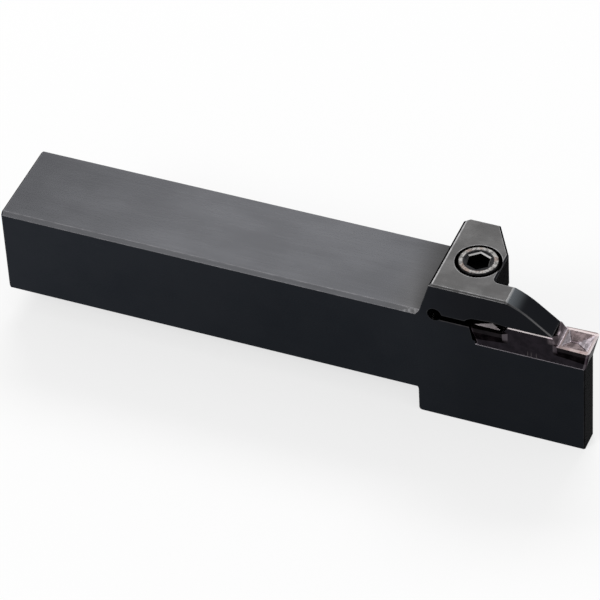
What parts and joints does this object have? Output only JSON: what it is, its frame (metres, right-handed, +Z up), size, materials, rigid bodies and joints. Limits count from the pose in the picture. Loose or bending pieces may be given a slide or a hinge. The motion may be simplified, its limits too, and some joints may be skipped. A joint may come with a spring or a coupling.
{
  "type": "grooving tool holder",
  "caption": "Square-shank external grooving tool holder with a slit clamping jaw, a socket cap clamp screw and a double-ended carbide grooving insert.",
  "frame": {"origin": "centre of the shank's back end face", "axes": "+X along the shank towards the cutting edge, +Z up as the tool is clamped, the insert on the -Y side"},
  "size_m": [0.15, 0.026, 0.0413],
  "materials": {
    "blackened_steel": "satin",
    "screw_steel": "satin",
    "coated_carbide": "satin"
  },
  "bodies": {
    "holder": {"holder_body": "blackened_steel"},
    "screw": {"clamp_screw": "screw_steel"},
    "insert": {"grooving_insert": "coated_carbide"}
  },
  "joints": [
    {"name": "clamp_screw_turn", "type": "hinge", "parent": "holder", "child": "screw", "pos_m": [0.11865, -0.0012, 0.0155], "axis": [0, 0, 1], "range_deg": [0, 540]},
    {"name": "insert_slide", "type": "slide", "parent": "holder", "child": "insert", "axis": [1, 0, 0], "range_m": [0, 0.03]}
  ]
}
